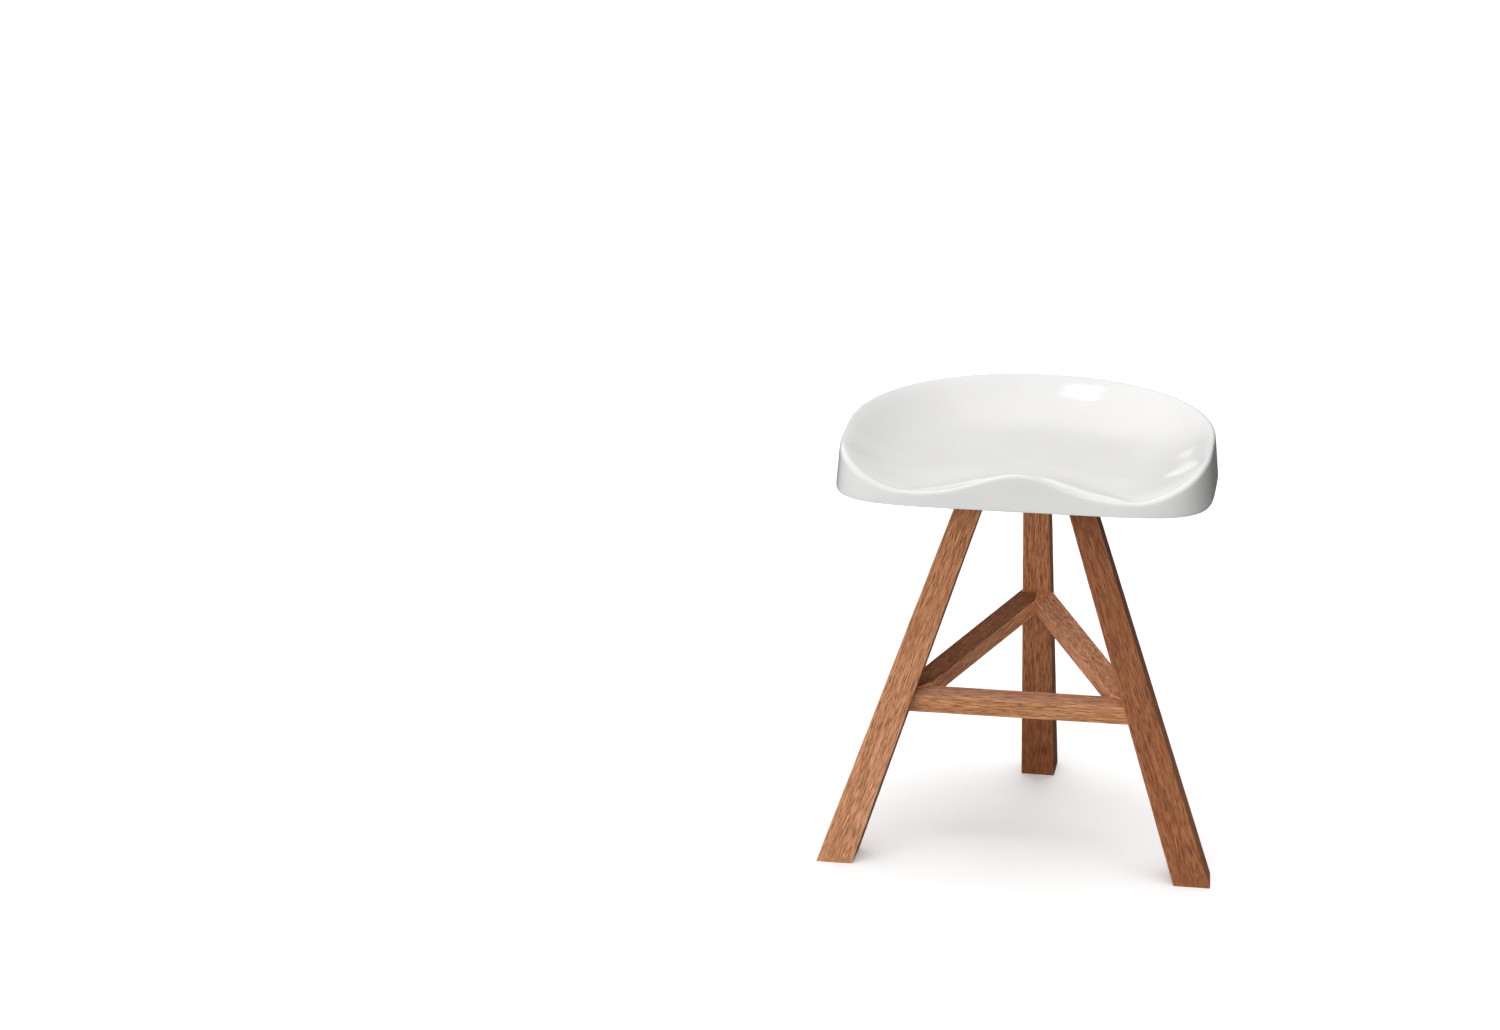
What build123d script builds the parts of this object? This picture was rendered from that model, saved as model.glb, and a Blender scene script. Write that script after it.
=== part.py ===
"""Three-legged stool: a moulded tractor-style seat shell on a tripod of tapered square wooden legs.

Millimetres. +Z is up, the front of the stool faces -Y, and X is across it. The origin is on the
floor, midway between the line of the front feet and the back foot.

The legs are screwed up to a round plywood mounting disc, which three bolts hold to bosses under the
seat. A triangle of stretchers, rising from front to back, is doweled into the legs.
"""
from build123d import *
from math import atan2, cos, degrees, pi, radians, sin, sqrt, tan
import os

# ---------------------------------------------------------------- driving dimensions
# Legs
foot_half_spread = 192.3        # leg axis at the floor, from the centre plane
foot_depth = 253.7              # front feet to back foot, axis to axis
gauge_height = 427.4            # height at which the next four dimensions are taken
gauge_half_spread = 46.8        # front leg axis, from the centre plane
front_leg_lean = 86.3           # how far back a front leg has leant by the gauge height
back_leg_lean = 79.6            # how far forward the back leg has leant by the gauge height
gauge_section = 26.8            # side of the square section there
foot_section = 37.3             # side of the square section at the floor
trim_allowance = 30.0           # how far a leg runs past its level cuts before it is trimmed
arris_radius = 1.2              # rounding of the long edges of legs and stretchers

# Stretchers: a triangle that rises from the front legs to the back leg
stretcher_width = 24.0
stretcher_height = 20.5
frame_half_base = 119.2         # where the side stretchers' centre lines start, from the centre plane
frame_front_y = -88.5           # the front stretcher's centre line
frame_front_top = 185.2         # top face of the stretchers at the front
frame_back_y = 73.5             # where the side stretchers' centre lines meet, inside the back leg
frame_back_top = 244.5          # top face of the stretchers there
front_stretcher_tip = 6.0       # degrees that the front stretcher's top face is tipped forwards
side_stretcher_tip = 9.0        # degrees that the side stretchers' top faces are tipped inwards

# Seat
seat_half_width = 200.0
seat_centre_y = -22.7           # widest line of the seat
seat_front_reach = 118.8        # from the widest line to the front of the skirt
seat_rear_reach = 165.5         # from the widest line to the rear of the skirt
front_squareness = 5.5          # superellipse powers of the plan outline
rear_squareness = 2.22
seat_base = 418.0               # bottom edge of the skirt
pommel_height = 40.4            # rim heights above the base, from front to rear
scoop_height = 16.1
side_height = 47.0
rear_height = 54.5
pommel_bearing = 45.0           # degrees round from the front to where the pommel has died away
scoop_bearing = 47.0            # degrees round from the front to where the rim starts to rise again
side_bearing = 71.0             # degrees round from the front to where the rim is full height
dish_floor = 12.0               # lowest part of the dish, above the base
bowl_share = 0.25               # share of the dish's depth that is a shallow bowl, not steep wall
wall_lateness = 2.5             # powers that shape the wall: late and steep, then rounding over
lip_fullness = 1.35
rim_share = 0.955               # share of the radius at which the rim's land starts
wall_start = 0.55               # share of the way to the land at which the wall starts
pommel_wall_start = 0.45        # the same towards the pommel
skirt_draft = 5.0               # degrees that the skirt leans inwards
skirt_thickness = 4.5
shell_thickness = 5.0
surface_pitch = 7.0             # spacing of the heights that the seat's surfaces pass through
surface_tolerance = 0.3
outline_steps = 120             # points on the plan outline

# Mounting disc and fastenings
disc_radius = 86.0
disc_thickness = 12.0
disc_chamfer = 1.0
disc_top = 420.0
disc_centre_y = -11.4
bolt_circle = 56.0
bolt_bearings = (30, 150, 270)  # degrees from +X, in the gaps between the legs
bolt_radius = 3.0
bolt_head_radius = 5.5
bolt_head_height = 4.0
bolt_reach = 7.0                # bolt engagement above the disc
washer_radius = 9.0
washer_thickness = 1.6
insert_radius = 4.5
insert_length = 8.0
boss_radius = 9.0
screw_radius = 2.25
screw_head_radius = 4.5
screw_head_height = 3.0
screw_length = 62.0
screw_spacing = 12.0
screw_seat = 5.0                # head's underside below the disc's top face, along the screw
socket_share = 0.5              # hexagon socket's corner radius and depth, as a share of the head's
dowel_radius = 3.0
dowel_half_length = 20.0
dowel_offset = 5.0              # front dowels sit above, and side dowels below, mid height
back_dowel_in_leg = 18.0
back_dowel_in_frame = 11.0

# ---------------------------------------------------------------- derived dimensions
front_foot_y = -foot_depth / 2
back_foot_y = foot_depth / 2
disc_bottom = disc_top - disc_thickness
section_slope = (gauge_section - foot_section) / gauge_height

LEG_LINES = {
    "leg_front_left": (
        Vector(-foot_half_spread, front_foot_y, 0),
        Vector(-gauge_half_spread, front_foot_y + front_leg_lean, gauge_height),
    ),
    "leg_front_right": (
        Vector(foot_half_spread, front_foot_y, 0),
        Vector(gauge_half_spread, front_foot_y + front_leg_lean, gauge_height),
    ),
    "leg_back": (
        Vector(0, back_foot_y, 0),
        Vector(0, back_foot_y - back_leg_lean, gauge_height),
    ),
}
SIDES = {"left": -1, "right": 1}


def save(piece, name):
    """Label a finished piece and write it to its STEP file."""
    piece.part.label = name
    export_step(piece.part, f"parts/{name}.step")


def make_rod(start, direction, radius, length):
    """A round rod from a point along a direction."""
    with BuildPart() as rod:
        with BuildSketch(Plane(origin=start, z_dir=direction)):
            Circle(radius)
        extrude(amount=length)
    return rod.part


def long_edges(piece):
    """The four edges along a leg or a stretcher."""
    return piece.edges().sort_by(SortBy.LENGTH)[-4:]


# ---------------------------------------------------------------- leg blanks
def leg_axis(name):
    """The direction from a leg's foot to its top."""
    foot, gauge = LEG_LINES[name]
    return (gauge - foot).normalized()


def leg_axis_point(name, height):
    """The point on a leg's axis at a height."""
    foot, gauge = LEG_LINES[name]
    return foot + (gauge - foot) * (height / gauge_height)


def leg_plane(name, height):
    """A plane square to a leg's axis, with its local X as near to the stool's X as it can be."""
    axis = leg_axis(name)
    across = (Vector(1, 0, 0) - axis * axis.X).normalized()
    return Plane(origin=leg_axis_point(name, height), x_dir=across, z_dir=axis)


def leg_section(height):
    """Side of a leg's square section at a height."""
    return foot_section + section_slope * height


def make_leg_blank(name):
    """A tapered square leg, cut level at the floor and under the mounting disc, with no holes yet."""
    low = -trim_allowance
    high = disc_bottom + trim_allowance
    with BuildPart() as leg:
        with BuildSketch(leg_plane(name, low)):
            Rectangle(leg_section(low), leg_section(low))
        with BuildSketch(leg_plane(name, high)):
            Rectangle(leg_section(high), leg_section(high))
        loft()
        fillet(long_edges(leg), arris_radius)
        split(bisect_by=Plane.XY, keep=Keep.TOP)
        split(bisect_by=Plane.XY.offset(disc_bottom), keep=Keep.BOTTOM)
    return leg.part


# ---------------------------------------------------------------- stretcher blanks
def corner(side):
    """Where a side stretcher's centre line meets the front stretcher's, at top-face level."""
    return Vector(side * frame_half_base, frame_front_y, frame_front_top)


def apex():
    """Where the side stretchers' centre lines meet, at top-face level."""
    return Vector(0, frame_back_y, frame_back_top)


def section_directions(start, end, tip):
    """Unit vectors along a bar, across it and up through it, for a top face tipped by some degrees.

    A positive tip lowers the edge on the right of the line from start to end.
    """
    axis = (end - start).normalized()
    level = axis.cross(Vector(0, 0, 1)).normalized()
    upright = level.cross(axis)
    across = level * cos(radians(tip)) - upright * sin(radians(tip))
    return axis, across, across.cross(axis)


def make_bar(start, end, tip):
    """A bar whose top face's centre line runs from start to end and a width past both."""
    axis, across, up = section_directions(start, end, tip)
    middle_start = start - up * (stretcher_height / 2) - axis * stretcher_width
    with BuildPart() as bar:
        with BuildSketch(Plane(origin=middle_start, x_dir=across, z_dir=axis)):
            Rectangle(stretcher_width, stretcher_height)
        extrude(amount=(end - start).length + 2 * stretcher_width)
        fillet(long_edges(bar), arris_radius)
    return bar.part


def front_mitre(side):
    """The upright plane of the mitre between the front stretcher and one side stretcher."""
    run = Vector(-side * frame_half_base, frame_back_y - frame_front_y, 0).normalized()
    bisector = (run + Vector(-side, 0, 0)).normalized()
    return Plane(origin=corner(side), x_dir=bisector, z_dir=Vector(-bisector.Y, bisector.X, 0))


def make_front_blank(legs):
    """The level stretcher between the front legs, mitred to the side stretchers at its ends."""
    bar = make_bar(corner(-1), corner(1), front_stretcher_tip)
    with BuildPart() as stretcher:
        add(bar)
        split(bisect_by=front_mitre(-1), keep=Keep.BOTTOM)
        split(bisect_by=front_mitre(1), keep=Keep.TOP)
        add(legs["leg_front_left"], mode=Mode.SUBTRACT)
        add(legs["leg_front_right"], mode=Mode.SUBTRACT)
    return stretcher.part


def make_side_blank(side, legs):
    """A stretcher that rises from a front leg to the back leg. side is -1 for left, 1 for right."""
    bar = make_bar(corner(side), apex(), -side * side_stretcher_tip)
    front_leg = legs["leg_front_left"] if side < 0 else legs["leg_front_right"]
    with BuildPart() as stretcher:
        add(bar)
        split(bisect_by=Plane.YZ, keep=Keep.TOP if side > 0 else Keep.BOTTOM)
        split(bisect_by=front_mitre(side), keep=Keep.TOP if side < 0 else Keep.BOTTOM)
        add(front_leg, mode=Mode.SUBTRACT)
        add(legs["leg_back"], mode=Mode.SUBTRACT)
    return stretcher.part


# ---------------------------------------------------------------- dowels
def exit_point(leg, start, direction):
    """The last point at which a line from start along direction leaves a leg."""
    crossings = leg.find_intersection_points(Axis(start, direction))
    return max((point for point, _ in crossings), key=lambda point: (point - start).dot(direction))


def make_joint_dowel(leg, start, end, tip, lift):
    """A dowel along a stretcher's middle, lifted by some millimetres, half of it inside the leg."""
    axis, _, up = section_directions(start, end, tip)
    middle_start = start + up * (lift - stretcher_height / 2)
    face_point = exit_point(leg, middle_start, axis)
    return make_rod(face_point - axis * dowel_half_length, axis, dowel_radius, 2 * dowel_half_length)


def make_front_dowels(side, leg):
    """The two dowels in a front leg: one in the front stretcher, one in the side stretcher."""
    front_tip = -side * front_stretcher_tip
    side_tip = -side * side_stretcher_tip
    with BuildPart() as dowels:
        add(make_joint_dowel(leg, corner(side), corner(-side), front_tip, dowel_offset))
        add(make_joint_dowel(leg, corner(side), apex(), side_tip, -dowel_offset))
    return dowels.part


def make_back_dowel(leg):
    """The dowel from the back leg into the corner where the side stretchers meet."""
    start = apex() - Vector(0, 0, stretcher_height / 2)
    face_point = exit_point(leg, start, Vector(0, -1, 0))
    rod_start = face_point + Vector(0, back_dowel_in_leg, 0)
    return make_rod(rod_start, Vector(0, -1, 0), dowel_radius, back_dowel_in_leg + back_dowel_in_frame)


# ---------------------------------------------------------------- screws from the disc into the legs
def screw_starts(name):
    """The centres of the undersides of a leg's two screw heads."""
    axis = leg_axis(name)
    sideways = axis.cross(Vector(0, 0, 1)).normalized()
    middle = leg_axis_point(name, disc_top) - axis * screw_seat
    return [middle + sideways * (shift * screw_spacing / 2) for shift in (-1, 1)]


def make_leg_screws(name):
    """Two socket-headed wood screws, driven down the leg's axis from inside the disc."""
    axis = leg_axis(name)
    with BuildPart() as screws:
        for start in screw_starts(name):
            with BuildSketch(Plane(origin=start, z_dir=axis)):
                Circle(screw_head_radius)
            extrude(amount=screw_head_height)
            with BuildSketch(Plane(origin=start, z_dir=axis)):
                Circle(screw_radius)
            extrude(amount=-screw_length)
            with BuildSketch(Plane(origin=start + axis * screw_head_height, z_dir=axis)):
                RegularPolygon(radius=screw_head_radius * socket_share, side_count=6)
            extrude(amount=-screw_head_height * socket_share, mode=Mode.SUBTRACT)
    return screws.part


# ---------------------------------------------------------------- seat bolts, washers and inserts
def bolt_points(height):
    """The places of the three seat bolts at a height."""
    points = []
    for bearing in bolt_bearings:
        across = bolt_circle * cos(radians(bearing))
        along = disc_centre_y + bolt_circle * sin(radians(bearing))
        points.append(Vector(across, along, height))
    return points


def make_seat_bolts():
    """Socket-headed bolts that come up through the washers and the disc into the inserts."""
    head_top = disc_bottom - washer_thickness
    head_bottom = head_top - bolt_head_height
    with BuildPart() as bolts:
        with Locations(*bolt_points(head_bottom)):
            Cylinder(bolt_head_radius, bolt_head_height, align=(Align.CENTER, Align.CENTER, Align.MIN))
        with Locations(*bolt_points(head_top)):
            reach = disc_top + bolt_reach - head_top
            Cylinder(bolt_radius, reach, align=(Align.CENTER, Align.CENTER, Align.MIN))
        with BuildSketch(Plane.XY.offset(head_bottom)):
            with Locations(*bolt_points(0)):
                RegularPolygon(radius=bolt_head_radius * socket_share, side_count=6)
        extrude(amount=bolt_head_height * socket_share, mode=Mode.SUBTRACT)
    return bolts.part


def make_seat_washers():
    """Flat washers between the bolt heads and the disc."""
    with BuildPart() as washers:
        with BuildSketch(Plane.XY.offset(disc_bottom - washer_thickness)):
            with Locations(*bolt_points(0)):
                Circle(washer_radius)
                Circle(bolt_radius, mode=Mode.SUBTRACT)
        extrude(amount=washer_thickness)
    return washers.part


def make_seat_inserts():
    """Blind threaded inserts, moulded into the seat's bosses."""
    with BuildPart() as inserts:
        with BuildSketch(Plane.XY.offset(disc_top)):
            with Locations(*bolt_points(0)):
                Circle(insert_radius)
        extrude(amount=insert_length)
        with BuildSketch(Plane.XY.offset(disc_top)):
            with Locations(*bolt_points(0)):
                Circle(bolt_radius)
        extrude(amount=bolt_reach, mode=Mode.SUBTRACT)
    return inserts.part


# ---------------------------------------------------------------- mounting disc
def make_disc(screws, bolts):
    """The round plywood disc, with bolt holes and with pockets for the leg screws' heads."""
    with BuildPart() as disc:
        with BuildSketch(Plane((0, disc_centre_y, disc_bottom))):
            Circle(disc_radius)
        extrude(amount=disc_thickness)
        chamfer(disc.edges().filter_by(GeomType.CIRCLE), disc_chamfer)
        add(bolts, mode=Mode.SUBTRACT)
        for name in LEG_LINES:
            add(screws[name], mode=Mode.SUBTRACT)
            for start in screw_starts(name):
                pocket = make_rod(start, leg_axis(name), screw_head_radius, 2 * screw_seat)
                add(pocket, mode=Mode.SUBTRACT)
    return disc


# ---------------------------------------------------------------- seat
def blend(start, end, share):
    """A smooth step from start to end as share goes from 0 to 1."""
    share = min(max(share, 0), 1)
    return start + (end - start) * share * share * (3 - 2 * share)


def rim_height(bearing):
    """The rim's height above the base, by degrees round from the front."""
    if bearing < scoop_bearing:
        wave = cos(pi / 2 * min(bearing / pommel_bearing, 1)) ** 2
        return scoop_height + (pommel_height - scoop_height) * wave
    if bearing < side_bearing:
        share = (bearing - scoop_bearing) / (side_bearing - scoop_bearing)
        return blend(scoop_height, side_height, share)
    share = (bearing - side_bearing) / (180 - side_bearing)
    return side_height + (rear_height - side_height) * sin(pi / 2 * share) ** 2


def radius_share(x, y):
    """How far out a point is, as a share of the way from the seat's centre to its outline."""
    along = y - seat_centre_y
    reach = seat_rear_reach if along > 0 else seat_front_reach
    power = rear_squareness if along > 0 else front_squareness
    return ((abs(x) / seat_half_width) ** power + (abs(along) / reach) ** power) ** (1 / power)


def dish_rise(share, start):
    """How far the dish has climbed, from 0 to 1, at a share of the way from its middle to its land."""
    wall_share = min(max((share - start) / (1 - start), 0), 1)
    wall = 1 - (1 - wall_share**wall_lateness) ** lip_fullness
    return bowl_share * share**2 + (1 - bowl_share) * wall


def dish_height(x, y):
    """Height of the seat's upper surface. Past the outline it carries on level with the rim."""
    bearing = degrees(atan2(abs(x), seat_centre_y - y))
    share = min(radius_share(x, y) / rim_share, 1)
    rise = dish_rise(share, blend(pommel_wall_start, wall_start, bearing / scoop_bearing))
    return seat_base + dish_floor + (rim_height(bearing) - dish_floor) * rise


def underside_height(x, y):
    """Height of the shell's lower surface, square to the upper one at the shell's thickness."""
    slope_x = (dish_height(x + 1, y) - dish_height(x - 1, y)) / 2
    slope_y = (dish_height(x, y + 1) - dish_height(x, y - 1)) / 2
    return dish_height(x, y) - shell_thickness * sqrt(1 + slope_x**2 + slope_y**2)


def make_space_above(height_at):
    """The space above a smooth surface through heights on a grid, a little wider than the seat."""
    columns = 2 * round((seat_half_width + surface_pitch) / surface_pitch) + 1
    rows = round((seat_front_reach + seat_rear_reach) / surface_pitch) + 4
    front = seat_centre_y - seat_front_reach - surface_pitch
    ys = [front + row * surface_pitch for row in range(rows)]
    grid = []
    for column in range(columns):
        x = (column - (columns - 1) / 2) * surface_pitch
        grid.append([Vector(x, y, height_at(x, y)) for y in ys])
    surface = Face.make_surface_from_array_of_points(grid, tol=surface_tolerance, min_deg=3, max_deg=3)
    with BuildPart() as space:
        extrude(surface, amount=2 * rear_height, dir=(0, 0, 1))
    return space.part


def outline_points(inset):
    """Points on the seat's plan outline, drawn in by an inset, every few degrees from +X."""
    half_width = seat_half_width - inset
    points = []
    for step in range(outline_steps):
        bearing = 2 * pi * step / outline_steps
        rearward = sin(bearing) > 0
        reach = (seat_rear_reach if rearward else seat_front_reach) - inset
        power = rear_squareness if rearward else front_squareness
        share = (abs(cos(bearing)) / half_width) ** power + (abs(sin(bearing)) / reach) ** power
        radius = share ** (-1 / power)
        points.append((radius * cos(bearing), seat_centre_y + radius * sin(bearing)))
    return points


def make_drafted_block(inset):
    """The block inside the skirt's faces, drawn in by an inset, from the base to above the rim."""
    height = rear_height + surface_pitch
    with BuildPart() as block:
        for level in (0, height):
            with BuildSketch(Plane.XY.offset(seat_base + level)):
                with BuildLine():
                    Spline(*outline_points(inset + level * tan(radians(skirt_draft))), periodic=True)
                make_face()
        loft()
    return block.part


def make_seat():
    """The seat: a dished top with a scooped front and a skirt, and three bosses for the inserts."""
    with BuildPart() as hollow:
        add(make_drafted_block(skirt_thickness))
        add(make_space_above(underside_height), mode=Mode.SUBTRACT)
    with BuildPart() as seat:
        add(make_drafted_block(0))
        add(make_space_above(dish_height), mode=Mode.SUBTRACT)
        add(hollow.part, mode=Mode.SUBTRACT)
        with Locations(*bolt_points(disc_top)):
            boss_height = seat_base + dish_floor - shell_thickness / 2 - disc_top
            Cylinder(boss_radius, boss_height, align=(Align.CENTER, Align.CENTER, Align.MIN))
            Cylinder(insert_radius, insert_length, align=(Align.CENTER, Align.CENTER, Align.MIN),
                     mode=Mode.SUBTRACT)
    return seat


# ---------------------------------------------------------------- the pieces and their files
def main():
    """Make every piece, cut the holes that the fastenings fill, and write one file for each."""
    os.makedirs("parts", exist_ok=True)
    legs = {name: make_leg_blank(name) for name in LEG_LINES}
    screws = {name: make_leg_screws(name) for name in LEG_LINES}
    bolts = make_seat_bolts()
    front_dowels = {
        name: make_front_dowels(side, legs[f"leg_front_{name}"]) for name, side in SIDES.items()
    }
    back_dowel = make_back_dowel(legs["leg_back"])
    leg_dowels = {
        "leg_front_left": front_dowels["left"],
        "leg_front_right": front_dowels["right"],
        "leg_back": back_dowel,
    }

    save(make_seat(), "seat_shell")
    save(make_disc(screws, bolts), "mounting_disc")
    for name in LEG_LINES:
        with BuildPart() as leg:
            add(legs[name])
            add(screws[name], mode=Mode.SUBTRACT)
            add(leg_dowels[name], mode=Mode.SUBTRACT)
        save(leg, name)

    with BuildPart() as stretcher_front:
        add(make_front_blank(legs))
        add(front_dowels["left"], mode=Mode.SUBTRACT)
        add(front_dowels["right"], mode=Mode.SUBTRACT)
    save(stretcher_front, "stretcher_front")
    for name, side in SIDES.items():
        with BuildPart() as stretcher:
            add(make_side_blank(side, legs))
            add(front_dowels[name], mode=Mode.SUBTRACT)
            add(back_dowel, mode=Mode.SUBTRACT)
        save(stretcher, f"stretcher_{name}")

    fastenings = {
        "seat_bolts": bolts,
        "seat_washers": make_seat_washers(),
        "seat_inserts": make_seat_inserts(),
        "leg_screws_front_left": screws["leg_front_left"],
        "leg_screws_front_right": screws["leg_front_right"],
        "leg_screws_back": screws["leg_back"],
        "dowels_front_left": front_dowels["left"],
        "dowels_front_right": front_dowels["right"],
        "dowel_back": back_dowel,
    }
    for name, solids in fastenings.items():
        with BuildPart() as fastening:
            add(solids)
        save(fastening, name)


if __name__ == "__main__":
    main()
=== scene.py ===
"""A three-legged stool: a glossy white dished seat on tapered square legs of stained wood."""

from math import atan2, cos, degrees, pi, radians, sin, tan

import bpy
from mathutils import Matrix, Vector


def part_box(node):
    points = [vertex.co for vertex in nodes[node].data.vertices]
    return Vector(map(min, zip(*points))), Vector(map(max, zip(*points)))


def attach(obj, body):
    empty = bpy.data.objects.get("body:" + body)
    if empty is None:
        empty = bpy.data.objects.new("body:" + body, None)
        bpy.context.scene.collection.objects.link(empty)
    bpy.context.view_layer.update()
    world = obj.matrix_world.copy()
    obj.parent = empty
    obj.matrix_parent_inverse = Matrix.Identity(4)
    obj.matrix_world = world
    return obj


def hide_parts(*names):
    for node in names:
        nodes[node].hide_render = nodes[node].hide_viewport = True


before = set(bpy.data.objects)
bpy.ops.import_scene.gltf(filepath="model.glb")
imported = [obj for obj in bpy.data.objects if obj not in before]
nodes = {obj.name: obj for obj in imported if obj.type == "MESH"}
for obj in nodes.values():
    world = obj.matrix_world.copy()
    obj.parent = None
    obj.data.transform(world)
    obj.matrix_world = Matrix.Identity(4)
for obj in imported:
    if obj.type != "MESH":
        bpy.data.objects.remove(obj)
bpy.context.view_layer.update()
MM = 0.001


# ---------------------------------------------------------------- shader helpers
def new_material(name):
    """A material with an empty tree, its shader and the tree itself."""
    material = bpy.data.materials.new(name)
    material.use_nodes = True
    tree = material.node_tree
    tree.nodes.clear()
    shader = tree.nodes.new("ShaderNodeBsdfPrincipled")
    output = tree.nodes.new("ShaderNodeOutputMaterial")
    tree.links.new(shader.outputs[0], output.inputs[0])
    return material, tree, shader


def feed(tree, socket, value):
    """Link a socket to another socket, or give it a value."""
    if isinstance(value, bpy.types.NodeSocket):
        tree.links.new(value, socket)
    else:
        socket.default_value = value


def add_node(tree, kind, *inputs, **settings):
    """Add a node whose sockets are fed in order (None leaves one alone), and return its first output."""
    node = tree.nodes.new(kind)
    for name, value in settings.items():
        setattr(node, name, value)
    for socket, value in zip(node.inputs, inputs):
        if value is not None:
            feed(tree, socket, value)
    return node.outputs[0]


def math_node(tree, operation, a, b=None):
    """One arithmetic step on one or two values."""
    return add_node(tree, "ShaderNodeMath", a, b, operation=operation)


def scaled(tree, vector, scale):
    """A vector multiplied by three numbers."""
    return add_node(tree, "ShaderNodeVectorMath", vector, scale, operation="MULTIPLY")


def noise(tree, vector, detail=3.0, roughness=0.5):
    """Noise with features about one unit across."""
    node = tree.nodes.new("ShaderNodeTexNoise")
    for name, value in (("Vector", vector), ("Scale", 1.0), ("Detail", detail), ("Roughness", roughness)):
        feed(tree, node.inputs[name], value)
    return node.outputs[0]


def separated(tree, vector):
    """A vector's three components."""
    node = tree.nodes.new("ShaderNodeSeparateXYZ")
    tree.links.new(vector, node.inputs[0])
    return node.outputs


def ramp(tree, value, low, high, start=0.0, end=1.0):
    """A smooth step from start to end as value goes from low to high."""
    return add_node(tree, "ShaderNodeMapRange", value, low, high, start, end,
                    interpolation_type="SMOOTHSTEP")


def mix(tree, factor, a, b, blend="MIX"):
    """Two colours mixed by a factor."""
    node = tree.nodes.new("ShaderNodeMix")
    node.data_type = "RGBA"
    node.blend_type = blend
    feed(tree, node.inputs[0], factor)
    feed(tree, node.inputs[6], a)
    feed(tree, node.inputs[7], b)
    return node.outputs[2]


def bump(tree, height, distance, strength):
    """A normal bumped by a height in units of distance, in metres."""
    node = tree.nodes.new("ShaderNodeBump")
    feed(tree, node.inputs["Strength"], strength)
    feed(tree, node.inputs["Distance"], distance)
    feed(tree, node.inputs["Height"], height)
    return node.outputs[0]


def local_mm(tree, placement):
    """Coordinates in millimetres along the axes of a placement matrix, from its origin."""
    coordinates = tree.nodes.new("ShaderNodeTexCoord").outputs["Object"]
    turn = placement.to_euler()
    return add_node(tree, "ShaderNodeMapping", coordinates, placement.translation, turn, (MM, MM, MM),
                    vector_type="TEXTURE")


def rgba(colour, tone=1.0):
    """A colour for a socket, darkened or lightened by a tone."""
    return tuple(channel * tone for channel in colour) + (1.0,)


# ---------------------------------------------------------------- wood
PALE_WOOD = (0.68, 0.34, 0.175)
MIDDLE_WOOD = (0.56, 0.26, 0.13)
DARK_WOOD = (0.27, 0.10, 0.04)
PORE = (0.10, 0.034, 0.014)
# colour of lightened arrises, partly wear and partly a painted highlight
WORN_AND_HIGHLIGHTED_EDGE = (0.72, 0.42, 0.25)

# noise scales of the grain's parts, per millimetre across, through and along a member
FIGURE_SCALE = (0.12, 0.10, 0.004)
STREAK_SCALE = (0.8, 0.8, 0.02)
FIBRE_SCALE = (1.3, 1.3, 0.05)
PORE_SCALE = (1.3, 1.3, 0.07)
SWAY_SCALE = (0.02, 0.02, 0.004)
SWAY_REACH = (6.0, 5.0, 0.0)    # millimetres that the grain wanders
WEAR_SCALE = (0.15, 0.15, 0.05)
WOOD_RELIEF = 0.12 * MM


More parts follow.
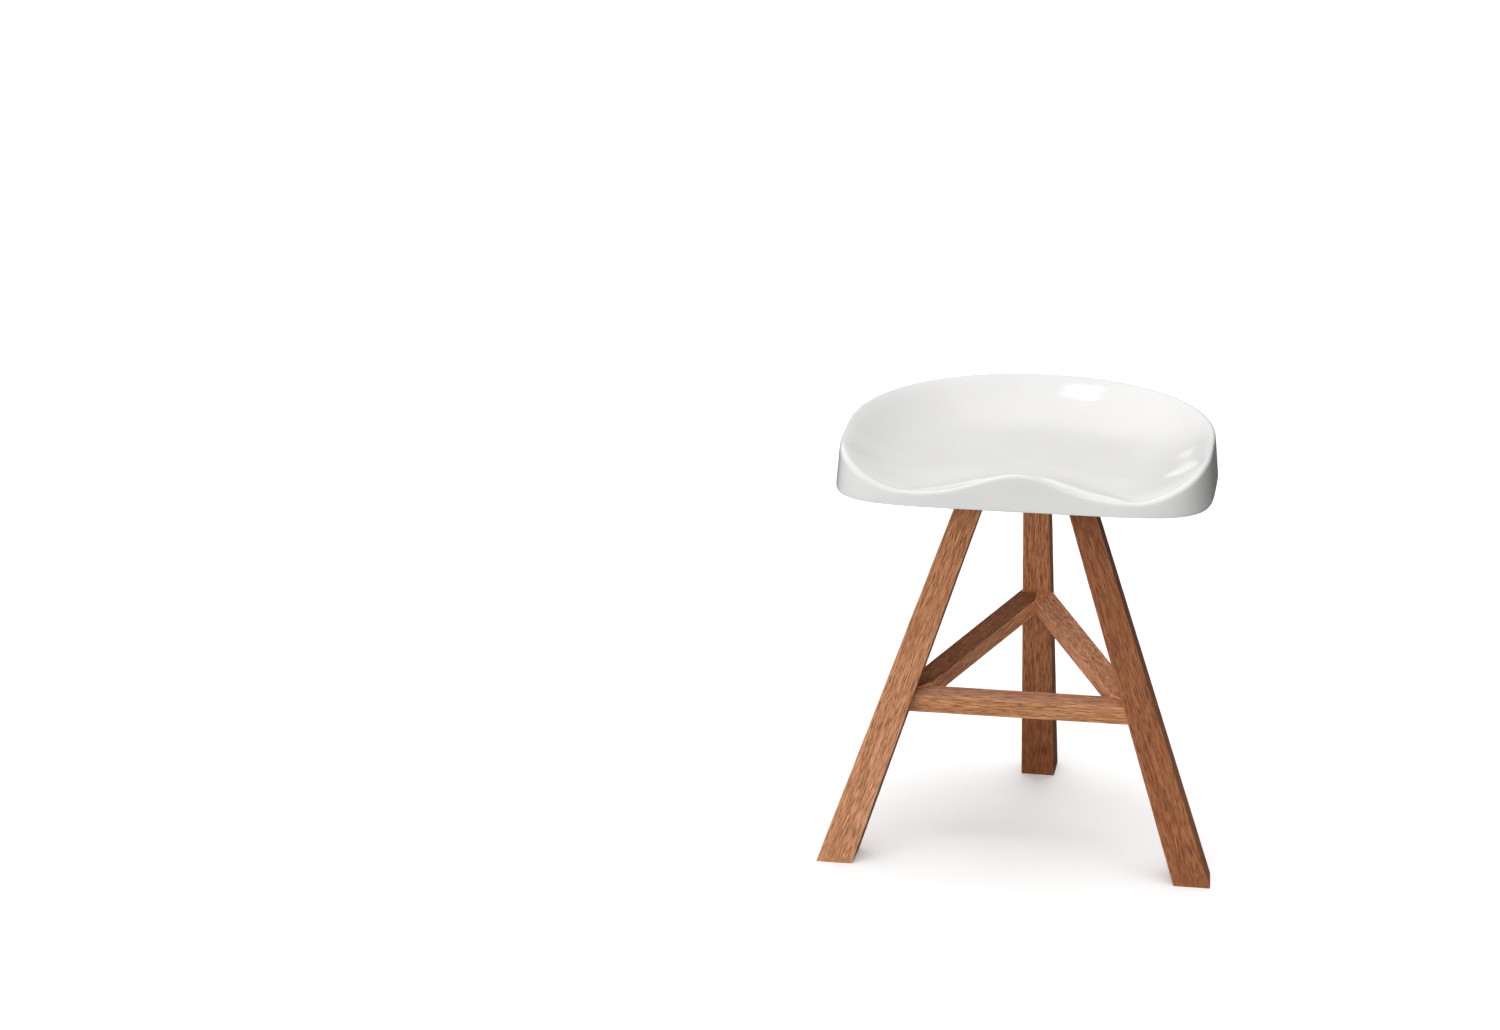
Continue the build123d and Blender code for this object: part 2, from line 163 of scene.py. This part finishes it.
def wood_material(name, placement, length, stain_and_light, half_section, half_slope=0.0, painted_top_light=None):
    """Stained open-pored wood, its grain along the placement's Z and its arrises lightened, partly by
    wear and partly by a painted highlight.

    Its stain, with painted light and shade folded in, is given at the placement's origin and a length
    along it; the change between the two is painted shading along the member. The upward face can take its
    own colour, a painted sheen where it is lighter and painted shade where it is darker. half_section is
    half its two sides in millimetres at the origin, and half_slope how much they change for each
    millimetre along it.
    """
    material, tree, shader = new_material(name)
    place = local_mm(tree, placement)
    sway = noise(tree, scaled(tree, place, SWAY_SCALE), detail=1.0)
    bent = add_node(tree, "ShaderNodeVectorMath", place, scaled(tree, sway, SWAY_REACH), operation="ADD")
    figure = noise(tree, scaled(tree, bent, FIGURE_SCALE), detail=2.0)
    streaks = noise(tree, scaled(tree, bent, STREAK_SCALE), detail=2.0, roughness=0.6)
    fibres = noise(tree, scaled(tree, bent, FIBRE_SCALE), detail=2.5, roughness=0.65)
    pores = ramp(tree, noise(tree, scaled(tree, bent, PORE_SCALE), detail=1.0), 0.54, 0.64)
    colour = mix(tree, ramp(tree, figure, 0.34, 0.66), rgba(MIDDLE_WOOD), rgba(PALE_WOOD))
    colour = mix(tree, ramp(tree, streaks, 0.38, 0.60, 0.32, 0.0), colour, rgba(DARK_WOOD))
    colour = mix(tree, ramp(tree, fibres, 0.36, 0.62, 0.78, 0.0), colour, rgba(DARK_WOOD))
    colour = mix(tree, math_node(tree, "MULTIPLY", pores, 0.7), colour, rgba(PORE))

    x, y, along = separated(tree, place)
    taper = math_node(tree, "MULTIPLY", along, half_slope)
    insets = []
    for half, offset in zip(half_section, (x, y)):
        edge = math_node(tree, "ADD", taper, half)
        insets.append(math_node(tree, "SUBTRACT", edge, math_node(tree, "ABSOLUTE", offset)))
    inset = math_node(tree, "MAXIMUM", *insets)
    # arrises lightened in patches, partly by wear and partly as a painted highlight
    patchy = noise(tree, scaled(tree, place, WEAR_SCALE), detail=4.0)
    edge_wear_and_highlight = math_node(tree, "MULTIPLY", ramp(tree, inset, 0.2, 2.0, 1.0, 0.0),
                     ramp(tree, patchy, 0.42, 0.66, 0.1, 0.75))
    colour = mix(tree, edge_wear_and_highlight, colour, rgba(WORN_AND_HIGHLIGHTED_EDGE))
    # the member's stain from end to end; its change along the member is painted light and shade
    stain_with_painted_light = mix(tree, ramp(tree, along, 0.0, length / MM), rgba(stain_and_light[0]), rgba(stain_and_light[1]))
    # the upward face recoloured with painted light: a sheen where it is lighter, shade where it is darker
    if painted_top_light:
        upward = separated(tree, tree.nodes.new("ShaderNodeNewGeometry").outputs["Normal"])[2]
        stain_with_painted_light = mix(tree, ramp(tree, upward, 0.3, 0.7), stain_with_painted_light, rgba(painted_top_light))
    colour = mix(tree, 1.0, colour, stain_with_painted_light, "MULTIPLY")

    feed(tree, shader.inputs["Base Color"], colour)
    feed(tree, shader.inputs["Roughness"], ramp(tree, fibres, 0.2, 0.8, 0.52, 0.36))
    height = math_node(tree, "SUBTRACT", fibres, pores)
    feed(tree, shader.inputs["Normal"], bump(tree, height, WOOD_RELIEF, 0.6))
    shader.inputs["Specular IOR Level"].default_value = 0.3
    return material


def placed(x_axis, y_axis, z_axis, origin):
    """The placement matrix with these axes and origin."""
    placement = Matrix((x_axis, y_axis, z_axis)).transposed().to_4x4()
    placement.translation = origin
    return placement


def leg_placement(start, end):
    """A frame at start with its Z towards end and its X towards the stool's right."""
    along = (end - start).normalized()
    across = (Vector((1, 0, 0)) - along * along.x).normalized()
    return placed(across, along.cross(across), along, start)


def end_centre(name, level):
    """The middle of a node's vertices at one of its ends, for the line of a leaning leg."""
    points = [vertex.co for vertex in nodes[name].data.vertices if abs(vertex.co.z - level) < MM]
    corner_low = Vector(min(p[i] for p in points) for i in range(3))
    corner_high = Vector(max(p[i] for p in points) for i in range(3))
    return (corner_low + corner_high) / 2


def assign(name, material):
    """Give a CAD node a new material in place of its own."""
    mesh = nodes[name].data
    mesh.materials.clear()
    mesh.materials.append(material)


# stain at the foot and at the top of each leg, as factors on the wood's own colours, with painted light
# and shade in them: the front legs brighter towards the foot, the back leg brighter towards the top; half
# a leg's section at the foot in millimetres, and how much it loses for each millimetre up the leg
LEG_STAIN_AND_LIGHT = {
    "leg_front_left": ((1.34, 1.40, 1.46), (1.12, 1.05, 0.98)),
    "leg_front_right": ((0.77, 0.63, 0.55), (0.70, 0.56, 0.49)),
    "leg_back": ((0.57, 0.42, 0.29), (1.46, 1.34, 1.24)),
}
FOOT_HALF = (18.65, 18.65)
LEG_HALF_SLOPE = -0.0117
for name, stain_and_light in LEG_STAIN_AND_LIGHT.items():
    low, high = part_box(name)
    foot = end_centre(name, low.z)
    top = end_centre(name, high.z)
    assign(name, wood_material(name + "_wood", leg_placement(foot, top), (top - foot).length, stain_and_light,
                               FOOT_HALF, LEG_HALF_SLOPE))

# each stretcher's stain on its sides and on its top, with painted light in them: the left and right
# stretchers' sides brightened, a painted sheen on the front stretcher's top, painted shade on the left
# one's top; and half its section where its arrises are lightened by wear and a painted highlight
STRETCHER_HALF = (12.0, 10.25)
PLAIN_ARRISES = (40.0, 40.0)
STRETCHER_WOOD = {
    "stretcher_front": ((1.26, 1.25, 1.18), (1.55, 1.60, 1.88), STRETCHER_HALF),
    "stretcher_left": ((2.10, 2.30, 2.60), (0.70, 0.61, 0.55), PLAIN_ARRISES),
    "stretcher_right": ((1.62, 1.66, 1.85), (1.62, 1.66, 1.85), PLAIN_ARRISES),
}


def stretcher_ends(name):
    """Two points on a stretcher's line, from its own box."""
    low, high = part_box(name)
    middle = (low + high) / 2
    if name == "stretcher_front":
        return Vector((low.x, middle.y, middle.z)), Vector((high.x, middle.y, middle.z))
    if name == "stretcher_left":
        return Vector((low.x, low.y, low.z)), Vector((high.x, high.y, high.z))
    return Vector((high.x, low.y, low.z)), Vector((low.x, high.y, high.z))


for name, (side_stain_and_light, painted_top_light, half_section) in STRETCHER_WOOD.items():
    start, end = stretcher_ends(name)
    along = (end - start).normalized()
    across = along.cross(Vector((0, 0, 1))).normalized()
    placement = placed(across, along.cross(across), along, start)
    assign(name, wood_material(name + "_wood", placement, (end - start).length, (side_stain_and_light, side_stain_and_light),
                               half_section, painted_top_light=painted_top_light))


# ---------------------------------------------------------------- plain materials
def metal_material(name, colour, roughness):
    """Plated or bare metal with fine scratches and uneven dulling."""
    material, tree, shader = new_material(name)
    place = local_mm(tree, Matrix.Identity(4))
    cloud = noise(tree, scaled(tree, place, (0.35, 0.35, 0.35)), detail=5.0, roughness=0.65)
    grit = noise(tree, scaled(tree, place, (3.0, 3.0, 3.0)), detail=2.0)
    feed(tree, shader.inputs["Base Color"],
         mix(tree, ramp(tree, cloud, 0.35, 0.7), rgba(colour), rgba(colour, 0.72)))
    feed(tree, shader.inputs["Roughness"], ramp(tree, cloud, 0.3, 0.7, roughness, roughness + 0.2))
    feed(tree, shader.inputs["Normal"], bump(tree, grit, 0.03 * MM, 0.4))
    shader.inputs["Metallic"].default_value = 1.0
    return material


PLIES_PER_MM = 0.58


def plywood_material():
    """Birch plywood: pale face veneers, with alternate plies showing round the disc's edge."""
    material, tree, shader = new_material("plywood")
    place = local_mm(tree, Matrix.Identity(4))
    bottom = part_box("mounting_disc")[0].z / MM
    depth = math_node(tree, "SUBTRACT", separated(tree, place)[2], bottom)
    ply = math_node(tree, "PINGPONG", math_node(tree, "MULTIPLY", depth, PLIES_PER_MM), 1.0)
    grain = noise(tree, scaled(tree, place, (0.02, 0.6, 0.6)), detail=5.0, roughness=0.6)
    colour = mix(tree, ramp(tree, grain, 0.3, 0.7), rgba((0.42, 0.27, 0.15)), rgba((0.62, 0.45, 0.28)))
    colour = mix(tree, ramp(tree, ply, 0.35, 0.65, 0.0, 0.45), colour, rgba((0.30, 0.18, 0.10)))
    feed(tree, shader.inputs["Base Color"], colour)
    feed(tree, shader.inputs["Roughness"], ramp(tree, grain, 0.2, 0.8, 0.7, 0.5))
    feed(tree, shader.inputs["Normal"], bump(tree, grain, 0.1 * MM, 0.5))
    return material


def dowel_material():
    """Pale beech with short flecks, for the dowels."""
    material, tree, shader = new_material("dowel_beech")
    place = local_mm(tree, Matrix.Identity(4))
    flecks = noise(tree, scaled(tree, place, (0.9, 0.9, 0.9)), detail=4.0)
    feed(tree, shader.inputs["Base Color"],
         mix(tree, ramp(tree, flecks, 0.35, 0.65), rgba((0.50, 0.33, 0.19)), rgba((0.66, 0.48, 0.31))))
    feed(tree, shader.inputs["Roughness"], ramp(tree, flecks, 0.2, 0.8, 0.75, 0.55))
    feed(tree, shader.inputs["Normal"], bump(tree, flecks, 0.08 * MM, 0.5))
    return material


zinc = metal_material("zinc_plate", (0.66, 0.67, 0.68), 0.26)
brass = metal_material("insert_brass", (0.72, 0.53, 0.25), 0.3)
beech = dowel_material()
assign("mounting_disc", plywood_material())
assign("seat_inserts", brass)
for name in ("seat_bolts", "seat_washers",
             "leg_screws_front_left", "leg_screws_front_right", "leg_screws_back"):
    assign(name, zinc)
for name in ("dowels_front_left", "dowels_front_right", "dowel_back"):
    assign(name, beech)


# ---------------------------------------------------------------- seat
seat_low, seat_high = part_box("seat_shell")
BASE = seat_low.z
HALF_WIDTH = (seat_high.x - seat_low.x) / 2
FRONT_REACH = 0.1188
CENTRE_Y = seat_low.y + FRONT_REACH
REAR_REACH = seat_high.y - CENTRE_Y
FRONT_POWER = 5.5               # superellipse powers of the plan outline
REAR_POWER = 2.22
DRAFT = radians(5)              # lean of the skirt
POMMEL, SCOOP, SIDE = 0.0404, 0.0161, 0.0470    # rim heights above the base, from front to rear
REAR = seat_high.z - BASE
POMMEL_BEARING = 45             # degrees round from the front to where the pommel has died away
SCOOP_BEARING = 47              # to where the rim starts to rise again
SIDE_BEARING = 71               # and to where it is at side height
FLOOR = 0.012                   # the dish's lowest part above the base
BOWL_SHARE = 0.25               # share of the dish's depth that is a shallow bowl, not wall
WALL_START = 0.55               # share of the way out at which the wall starts
WALL_LATENESS, WALL_FULLNESS = 2.5, 1.35
RIDGE_START = 0.3               # share of the way forward at which the pommel's ridge starts
RIDGE_FULLNESS = 1.12
RIDGE_NARROWING = 0.7           # how much narrower the ridge is at its rear end
WALL = 0.0045                   # thickness of the skirt
SHELL = 0.005                   # thickness under the dish
LIP = 0.0045                    # scale of the lip's section
SKIRT_EDGE = 0.0009             # easing of the skirt's bottom edges
INNER_WALL_FOOT = 0.003         # how far up the skirt's inner wall its first ring stands
UNDERSIDE_INSET = 0.001
UNDERSIDE_FLATNESS = 0.93       # the underside's rise as a share of the dish's
COLUMNS = 160
DISH_SHARES = (0.12, 0.24, 0.36, 0.46, 0.54, 0.61, 0.67, 0.73, 0.78, 0.83, 0.875, 0.915, 0.95, 0.98)
UNDERSIDE_SHARES = (0.93, 0.86, 0.78, 0.7, 0.6, 0.45, 0.3, 0.15)
# inset from the outline and drop below the rim of the lip's section, from the dish out, in LIPs
LIP_SECTION = ((1.3, 0.16), (1.05, 0.05), (0.8, 0.0), (0.5, 0.05), (0.2, 0.25), (0.04, 0.65), (0, 1.3))
LIP_START_INSET, LIP_START_DROP = LIP_SECTION[0]


def blend(start, end, share):
    """A smooth step from start to end as share goes from 0 to 1."""
    share = min(max(share, 0.0), 1.0)
    return start + (end - start) * share * share * (3 - 2 * share)


def side_rim(bearing):
    """The rim's height above the base without the pommel, by degrees round from the front."""
    if bearing < SIDE_BEARING:
        return blend(SCOOP, SIDE, (bearing - SCOOP_BEARING) / (SIDE_BEARING - SCOOP_BEARING))
    rearward = (bearing - SIDE_BEARING) / (180 - SIDE_BEARING)
    return SIDE + (REAR - SIDE) * sin(pi / 2 * rearward) ** 2


def pommel_height(x):
    """How far the pommel stands above the scoops at a distance from the centre plane."""
    bearing = degrees(atan2(abs(x), FRONT_REACH))
    return (POMMEL - SCOOP) * cos(pi / 2 * min(bearing / POMMEL_BEARING, 1)) ** 2


def front_bearing(angle):
    """Degrees round from the front, either way, of an angle round the seat from +X."""
    return degrees(atan2(abs(cos(angle)), -sin(angle)))


def rim_height(angle):
    """The rim's height above the base at an angle round the seat from +X."""
    bearing = front_bearing(angle)
    if bearing > SCOOP_BEARING:
        return side_rim(bearing)
    return SCOOP + pommel_height(FRONT_REACH * tan(radians(bearing)))


def outline_radius(angle, inset):
    """Distance from the seat's centre to its plan outline, drawn in by an inset."""
    rearward = sin(angle) > 0
    reach = (REAR_REACH if rearward else FRONT_REACH) - inset
    power = REAR_POWER if rearward else FRONT_POWER
    share = (abs(cos(angle)) / (HALF_WIDTH - inset)) ** power + (abs(sin(angle)) / reach) ** power
    return share ** (-1 / power)


def ring_point(angle, inset, height, share=1.0):
    """A point on the outline at an angle, drawn in by an inset and the skirt's draft, then scaled."""
    radius = share * outline_radius(angle, inset + height * tan(DRAFT))
    return Vector((radius * cos(angle), CENTRE_Y + radius * sin(angle), BASE + height))


def dish_height(angle, share):
    """The dish's height above the base at an angle and a share of the way from its middle to its lip.

    It is a shallow bowl with a late, steep wall, and a ridge that runs back from the pommel.
    """
    wall_share = min(max((share - WALL_START) / (1 - WALL_START), 0), 1)
    wall = 1 - (1 - wall_share ** WALL_LATENESS) ** WALL_FULLNESS
    rise = BOWL_SHARE * share ** 2 + (1 - BOWL_SHARE) * wall
    height = FLOOR + (side_rim(front_bearing(angle)) - FLOOR) * rise
    radius = share * outline_radius(angle, 0)
    forward = min(max(-radius * sin(angle) / FRONT_REACH, 0), 1)
    ridge_share = max((forward - RIDGE_START) / (1 - RIDGE_START), 0)
    ridge = 1 - (1 - ridge_share ** 2) ** RIDGE_FULLNESS
    narrowing = 1 + RIDGE_NARROWING * (1 - forward)
    return height + pommel_height(radius * cos(angle) * narrowing) * ridge


def seat_profile(angle):
    """The shell's section at an angle: dish, lip, skirt, and back under to the middle."""
    rim = rim_height(angle)
    lip_share = 1 - LIP_START_INSET * LIP / outline_radius(angle, rim * tan(DRAFT))
    profile = []
    for share in DISH_SHARES:
        height = dish_height(angle, share) - LIP_START_DROP * LIP * share
        profile.append(ring_point(angle, 0, height, share * lip_share))
    for inset, drop in LIP_SECTION:
        profile.append(ring_point(angle, inset * LIP, rim - drop * LIP))
    for share in (0.5, 0.12):
        profile.append(ring_point(angle, 0, share * (rim - 2 * LIP)))
    for inset, height in ((0, SKIRT_EDGE), (SKIRT_EDGE, 0), (WALL - SKIRT_EDGE, 0), (WALL, SKIRT_EDGE)):
        profile.append(ring_point(angle, inset, height))
    inner_wall = max(rim - SHELL - 2 * INNER_WALL_FOOT, INNER_WALL_FOOT)
    for share in (0.35, 0.75):
        profile.append(ring_point(angle, WALL, INNER_WALL_FOOT + share * inner_wall))
    for share in UNDERSIDE_SHARES:
        height = dish_height(angle, min(share / lip_share, 1))
        height = FLOOR - SHELL + (height - FLOOR) * UNDERSIDE_FLATNESS
        profile.append(ring_point(angle, UNDERSIDE_INSET, height, share))
    return profile


def make_seat():
    """The seat's closed shell: one smooth ring of columns, with a fan at each end of the section."""
    angles = [2 * pi * column / COLUMNS for column in range(COLUMNS)]
    columns = [seat_profile(angle) for angle in angles]
    count = len(columns[0])
    points = [point for column in columns for point in column]
    top, bottom = len(points), len(points) + 1
    points += [Vector((0, CENTRE_Y, BASE + FLOOR)), Vector((0, CENTRE_Y, BASE + FLOOR - SHELL))]
    faces = []
    for column in range(COLUMNS):
        here, there = column * count, (column + 1) % COLUMNS * count
        faces.append((top, here, there))
        faces.append((bottom, there + count - 1, here + count - 1))
        faces += [(here + row, here + row + 1, there + row + 1, there + row) for row in range(count - 1)]
    mesh = bpy.data.meshes.new("seat")
    mesh.from_pydata(points, [], faces)
    mesh.validate()
    mesh.polygons.foreach_set("use_smooth", [True] * len(mesh.polygons))
    seat = bpy.data.objects.new("seat", mesh)
    bpy.context.scene.collection.objects.link(seat)
    smooth = seat.modifiers.new("smooth", "SUBSURF")
    smooth.levels = 1
    smooth.render_levels = 2
    return seat


def seat_material():
    """Glossy white moulded plastic, with a faint ripple in its skin, soft mottling and fine scuffs."""
    material, tree, shader = new_material("seat_gloss_white")
    place = local_mm(tree, Matrix.Identity(4))
    mottle = noise(tree, scaled(tree, place, (0.012, 0.012, 0.012)), detail=3.0)
    ripple = noise(tree, scaled(tree, place, (0.09, 0.09, 0.09)), detail=2.0)
    scuffs = noise(tree, scaled(tree, place, (0.5, 0.04, 0.3)), detail=6.0, roughness=0.7)
    feed(tree, shader.inputs["Base Color"],
         mix(tree, ramp(tree, mottle, 0.3, 0.7), rgba((0.80, 0.795, 0.785)), rgba((0.83, 0.825, 0.815))))
    feed(tree, shader.inputs["Roughness"], ramp(tree, scuffs, 0.5, 0.75, 0.10, 0.20))
    feed(tree, shader.inputs["Normal"], bump(tree, ripple, 0.12 * MM, 0.25))
    shader.inputs["Coat Weight"].default_value = 0.4
    shader.inputs["Coat Roughness"].default_value = 0.04
    return material


seat = make_seat()
seat.data.materials.append(seat_material())
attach(seat, "root")
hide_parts("seat_shell")


# ---------------------------------------------------------------- stage, lights and camera
def paper_material(name, tone, cloud_scale, glow):
    """Pale studio paper, a little cloudy, with a share of its brightness its own."""
    material, tree, shader = new_material(name)
    place = local_mm(tree, Matrix.Identity(4))
    cloud = noise(tree, scaled(tree, place, (cloud_scale,) * 3), detail=2.0)
    feed(tree, shader.inputs["Base Color"],
         mix(tree, cloud, rgba((tone,) * 3), rgba((tone + 0.02,) * 3)))
    shader.inputs["Roughness"].default_value = 0.9
    shader.inputs["Specular IOR Level"].default_value = 0.1
    shader.inputs["Emission Color"].default_value = (1, 1, 1, 1)
    shader.inputs["Emission Strength"].default_value = glow
    return material


def stage_piece(name, points, faces, material):
    """Part of the set, seen by the camera but neither lighting nor shading the stool."""
    mesh = bpy.data.meshes.new(name)
    mesh.from_pydata(points, [], faces)
    piece = bpy.data.objects.new(name, mesh)
    piece.data.materials.append(material)
    bpy.context.scene.collection.objects.link(piece)
    piece.visible_diffuse = False
    piece.visible_glossy = False
    piece.visible_shadow = False


def make_stage():
    """A wide floor with four walls round it."""
    half, height = 15.0, 12.0
    corners = [(-half, -half), (half, -half), (half, half), (-half, half)]
    low = [(x, y, 0) for x, y in corners]
    high = [(x, y, height) for x, y in corners]
    stage_piece("floor", low, [(0, 1, 2, 3)], paper_material("pale_floor", 0.90, 0.004, 0.18))
    walls = [(side, side + 4, (side + 1) % 4 + 4, (side + 1) % 4) for side in range(4)]
    stage_piece("backdrop", low + high, walls, paper_material("pale_backdrop", 0.10, 0.001, 0.88))


# name, degrees round from the front towards the right, degrees above the floor, strength
STUDIO = (
    ("backdrop_glow", 180, 8, 1.7),
    ("front_left", 315, 8, 1.6),
    ("front", 0, 35, 0.85),
    ("back_right", 135, 35, 0.3),
    ("back_left", 225, 35, 0.45),
    ("back_high", 180, 65, 0.3),
    ("left_high", 270, 65, 0.25),
    ("right_high", 90, 65, 0.38),
    ("overhead", 0, 90, 1.25),
    ("floor_bounce", 0, -30, 0.5),
)


SOFTNESS = radians(40)


def soft_light(name, bearing, height, strength):
    """A distant light as wide as a large softbox, kept out of reflections."""
    bearing, height = radians(bearing), radians(height)
    direction = Vector((sin(bearing) * cos(height), -cos(bearing) * cos(height), sin(height)))
    light = bpy.data.lights.new(name, "SUN")
    light.angle = SOFTNESS
    light.energy = strength
    lamp = bpy.data.objects.new(name, light)
    lamp.rotation_euler = direction.to_track_quat("Z", "Y").to_euler()
    lamp.visible_glossy = False
    bpy.context.scene.collection.objects.link(lamp)


def window_light():
    """A small bright panel with a narrow beam, whose reflection glints in the rear wall of the dish."""
    light = bpy.data.lights.new("window", "AREA")
    light.shape = "RECTANGLE"
    light.size, light.size_y = 0.12, 0.035
    light.spread = radians(17)
    light.energy = 0.0009
    rear_wall = Vector((0.04, 0.11, 0.456))
    toward = Vector((-0.245, -0.25, 0.937)).normalized()
    across = toward.cross(Vector((-0.19, 0.21, 0))).normalized()
    lamp = bpy.data.objects.new("window", light)
    lamp.matrix_world = placed(across.cross(toward), across, toward, rear_wall + 0.7 * toward)
    lamp.visible_diffuse = False
    lamp.visible_camera = False
    bpy.context.scene.collection.objects.link(lamp)


def make_world():
    """The pale room that the gloss reflects."""
    world = bpy.data.worlds.new("studio")
    world.use_nodes = True
    background = world.node_tree.nodes["Background"]
    background.inputs["Color"].default_value = (1, 1, 1, 1)
    background.inputs["Strength"].default_value = 0.08
    bpy.context.scene.world = world


def make_camera():
    """The camera, a long lens above and a little to the right of the stool's front."""
    yaw, pitch, roll = radians(10.49), radians(21.76), radians(-0.75)
    forward = Vector((-sin(yaw) * cos(pitch), cos(yaw) * cos(pitch), -sin(pitch)))
    level = Vector((cos(yaw), sin(yaw), 0))
    upright = level.cross(forward)
    right = level * cos(roll) + upright * sin(roll)
    up = upright * cos(roll) - level * sin(roll)
    camera = bpy.data.cameras.new("camera")
    camera.lens = 96.457
    camera.sensor_width = 36
    camera.clip_end = 100
    holder = bpy.data.objects.new("camera", camera)
    holder.matrix_world = placed(right, up, -forward, Vector((0.4339, -4.0073, 1.9683)))
    bpy.context.scene.collection.objects.link(holder)
    bpy.context.scene.camera = holder


make_stage()
make_world()
for entry in STUDIO:
    soft_light(*entry)
window_light()
make_camera()
bpy.context.scene.view_settings.view_transform = "Standard"
